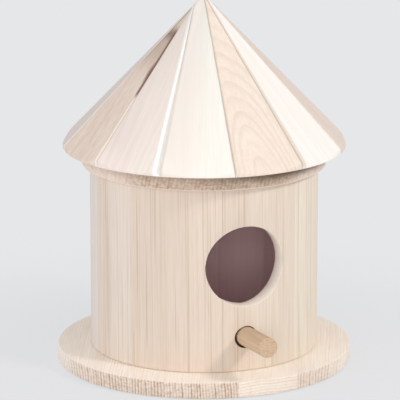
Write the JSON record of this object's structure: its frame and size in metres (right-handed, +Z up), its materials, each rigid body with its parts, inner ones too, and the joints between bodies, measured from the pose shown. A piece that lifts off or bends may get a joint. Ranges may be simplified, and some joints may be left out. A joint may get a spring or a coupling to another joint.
{
  "type": "wooden birdhouse",
  "caption": "Round unfinished wooden birdhouse: stave wall on a wider base board, round entrance over a dowel perch, pointed roof of mitred boards with a round eave.",
  "frame": {"origin": "middle of the base board's underside, on the axis of the wall", "axes": "+Z up along the axis of the wall, -Y out through the entrance, +X to the right of someone who faces the back of it"},
  "size_m": [0.15, 0.1612, 0.189],
  "materials": {
    "base_wood": "unfinished softwood, sanded",
    "wall_wood": "unfinished softwood, turned",
    "plate_wood": "unfinished softwood, end grain at the rim",
    "perch_wood": "plain dowel",
    "roof_wood_white": "unfinished softwood, planed",
    "roof_wood_cream": "unfinished softwood, planed",
    "roof_wood_peach": "unfinished softwood, planed",
    "roof_wood_grey": "unfinished softwood, planed"
  },
  "bodies": {
    "root": {"base_board": "base_wood", "wall_stave_1": "wall_wood", "wall_stave_2": "wall_wood", "wall_stave_3": "wall_wood", "wall_stave_4": "wall_wood", "wall_stave_5": "wall_wood", "wall_stave_6": "wall_wood", "wall_stave_7": "wall_wood", "wall_stave_8": "wall_wood", "wall_stave_9": "wall_wood", "wall_stave_10": "wall_wood", "wall_stave_11": "wall_wood", "wall_stave_12": "wall_wood", "perch": "perch_wood", "ceiling_plate": "plate_wood", "roof_board_1": "roof_wood_peach", "roof_board_2": "roof_wood_white", "roof_board_3": "roof_wood_grey", "roof_board_4": "roof_wood_cream", "roof_board_5": "roof_wood_peach", "roof_board_6": "roof_wood_white", "roof_board_7": "roof_wood_cream", "roof_board_8": "roof_wood_grey", "roof_board_9": "roof_wood_cream", "roof_board_10": "roof_wood_grey", "roof_board_11": "roof_wood_cream", "roof_board_12": "roof_wood_white"}
  },
  "joints": []
}
